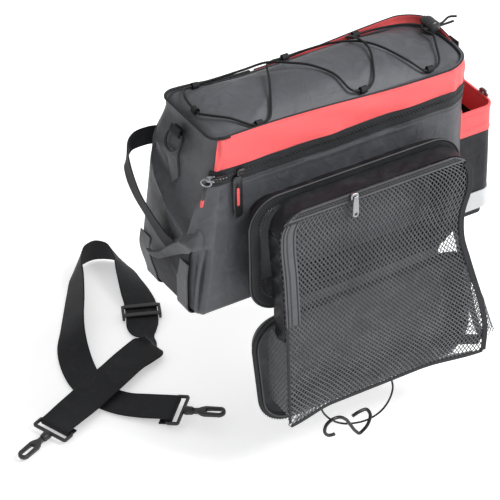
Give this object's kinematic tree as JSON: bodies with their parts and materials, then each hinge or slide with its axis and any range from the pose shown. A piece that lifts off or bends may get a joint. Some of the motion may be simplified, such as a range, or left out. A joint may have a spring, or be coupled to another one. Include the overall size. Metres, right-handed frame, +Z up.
{
  "type": "bicycle rack bag",
  "caption": "Rack trunk bag with a laced lid, a coral collar, an unzipped mesh side pannier, a rear bottle pocket and its loose shoulder strap.",
  "frame": {"origin": "middle of the bag's flat bottom, where it sits on the bicycle's rear rack", "axes": "+X to the rear along the bag's length (bottle pocket end), +Y to the side away from the open pannier, +Z up"},
  "size_m": [0.6268, 0.5729, 0.5304],
  "materials": {
    "dark_nylon": "coated nylon cloth, dark grey, matte",
    "black_nylon": "thin nylon cloth, near black, slight sheen",
    "coral_cloth": "coral red nylon cloth, matte",
    "black_webbing": "woven webbing, black",
    "zip_tape": "coil zip and its tape, black",
    "grey_piping": "cloth-covered piping, grey",
    "elastic_cord": "braided elastic cord, black",
    "black_net": "knitted mesh, black",
    "zip_metal": "plated zip metal, bright",
    "black_plastic": "moulded acetal, satin black",
    "reflective_tape": "silver reflective tape",
    "coated_wire": "steel wire with a black coat"
  },
  "bodies": {
    "bag": {"body_tub": "dark_nylon", "lid": "dark_nylon", "red_collar": "coral_cloth", "main_zip": "zip_tape", "zip_slider_front": "zip_metal", "zip_slider_side": "black_plastic", "zip_pull_cord": "black_plastic", "zip_pull_tip": "coral_cloth", "zip_pull_tab": "black_plastic", "zip_pull_stripe": "coral_cloth", "front_ring_tab": "black_webbing", "front_ring_patch": "dark_nylon", "rear_ring_tab": "black_webbing", "grab_handle": "black_webbing", "rack_strap_near": "black_webbing", "rack_strap_far": "black_webbing", "lacing_cord": "elastic_cord", "lace_loop_1": "black_webbing", "lace_loop_2": "black_webbing", "lace_loop_3": "black_webbing", "lace_loop_4": "black_webbing", "lace_loop_5": "black_webbing", "lace_loop_6": "black_webbing", "lace_loop_7": "black_webbing", "cord_lock_body": "black_plastic", "pannier_gusset": "black_nylon", "pannier_piping": "grey_piping", "pannier_zip": "zip_tape", "pannier_hinge": "dark_nylon", "flap_tray": "dark_nylon", "flap_piping": "grey_piping", "flap_zip": "zip_tape", "pouch_net_front": "black_net", "pouch_net_left": "black_net", "pouch_net_right": "black_net", "pouch_net_bottom": "black_net", "pouch_top_band": "dark_nylon", "pouch_top_gusset": "dark_nylon", "pouch_left_gusset": "dark_nylon", "pouch_right_gusset": "dark_nylon", "pouch_binding": "zip_tape", "pouch_slider": "zip_metal", "elastic_loop": "elastic_cord", "wire_hook": "coated_wire", "bottle_pocket": "black_nylon", "pocket_rim": "coral_cloth", "pocket_reflector": "reflective_tape", "pocket_toggle": "black_plastic", "far_pannier": "dark_nylon", "far_piping": "grey_piping", "shoulder_strap": "black_webbing", "strap_slide": "black_plastic", "strap_ring_left": "black_plastic", "strap_ring_right": "black_plastic"},
    "cord_lock_button": {"cord_lock_button": "black_plastic"},
    "pouch_pull_tab": {"pouch_pull_tab": "zip_metal"},
    "front_ring": {"front_ring": "black_plastic"},
    "rear_ring": {"rear_ring": "black_plastic"},
    "snap_hook_left": {"snap_hook_left": "black_plastic"},
    "snap_hook_right": {"snap_hook_right": "black_plastic"}
  },
  "joints": [
    {"name": "pouch_pull_hinge", "type": "hinge", "parent": "bag", "child": "pouch_pull_tab", "pos_m": [-0.03471, -0.13138, 0.15425], "axis": [1, 0, 0], "range_deg": [-120, 0]},
    {"name": "cord_lock_slide", "type": "slide", "parent": "bag", "child": "cord_lock_button", "axis": [0, -1, 0], "range_m": [0, 0.004], "stiffness_N_per_m": 150},
    {"name": "front_ring_hinge", "type": "hinge", "parent": "bag", "child": "front_ring", "pos_m": [-0.19806, 0.00744, 0.2261], "axis": [-0.0685, 0.9976, 0], "range_deg": [0, 100]},
    {"name": "rear_ring_hinge", "type": "hinge", "parent": "bag", "child": "rear_ring", "pos_m": [0.19027, 0, 0.2261], "axis": [0, -1, 0], "range_deg": [0, 100]},
    {"name": "snap_hook_left_swivel", "type": "hinge", "parent": "bag", "child": "snap_hook_left", "pos_m": [-0.32958, 0.12715, -0.25215], "axis": [-0.9138, -0.4061, -0.0113], "continuous": true},
    {"name": "snap_hook_right_swivel", "type": "hinge", "parent": "bag", "child": "snap_hook_right", "pos_m": [-0.1846, 0.07658, -0.25135], "axis": [0.67, -0.7258, 0.156], "continuous": true}
  ]
}
